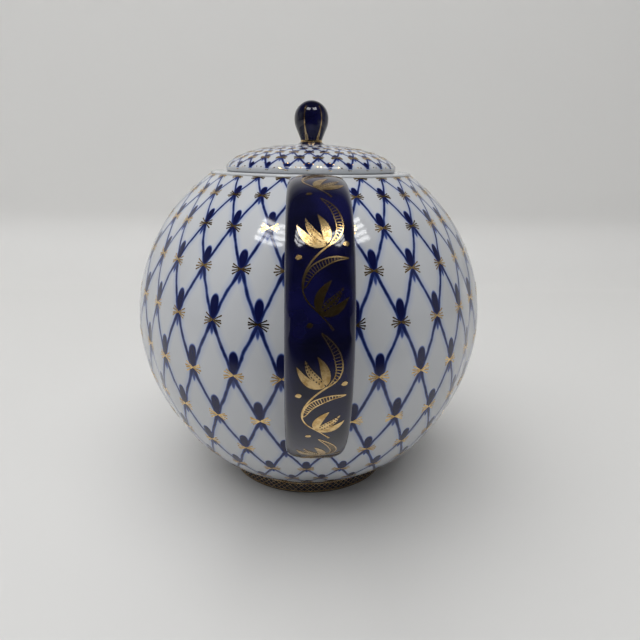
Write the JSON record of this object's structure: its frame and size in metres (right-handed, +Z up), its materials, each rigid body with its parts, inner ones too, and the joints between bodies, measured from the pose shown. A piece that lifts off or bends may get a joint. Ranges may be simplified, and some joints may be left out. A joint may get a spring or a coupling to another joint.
{
  "type": "porcelain teapot",
  "caption": "Round porcelain teapot with six soft lobes, strap handle, curved spout, pierced strainer wall and a lift-off domed lid with a bulb knob.",
  "frame": {"origin": "centre of the foot's underside, on the pot's upright axis", "axes": "+Z up, the handle towards -Y and the spout towards +Y"},
  "size_m": [0.12, 0.203, 0.1297],
  "materials": {
    "net_porcelain": "glazed white porcelain painted with a cobalt net and gilt crosses",
    "white_glaze": "glossy white porcelain glaze",
    "cobalt_glaze": "deep cobalt glaze with gilt leaf scroll",
    "cobalt_gold_band": "cobalt band with a gilt lattice, unglazed resting edge"
  },
  "bodies": {
    "pot": {"body_shell": "net_porcelain", "foot_ring": "cobalt_gold_band", "mouth_collar": "white_glaze", "handle": "cobalt_glaze", "spout": "net_porcelain"},
    "lid": {"lid_dome": "net_porcelain", "lid_flange": "white_glaze", "knob": "cobalt_glaze"}
  },
  "joints": [
    {"name": "lid_lift", "type": "slide", "parent": "pot", "child": "lid", "axis": [0, 0, 1], "range_m": [0, 0.06]}
  ]
}
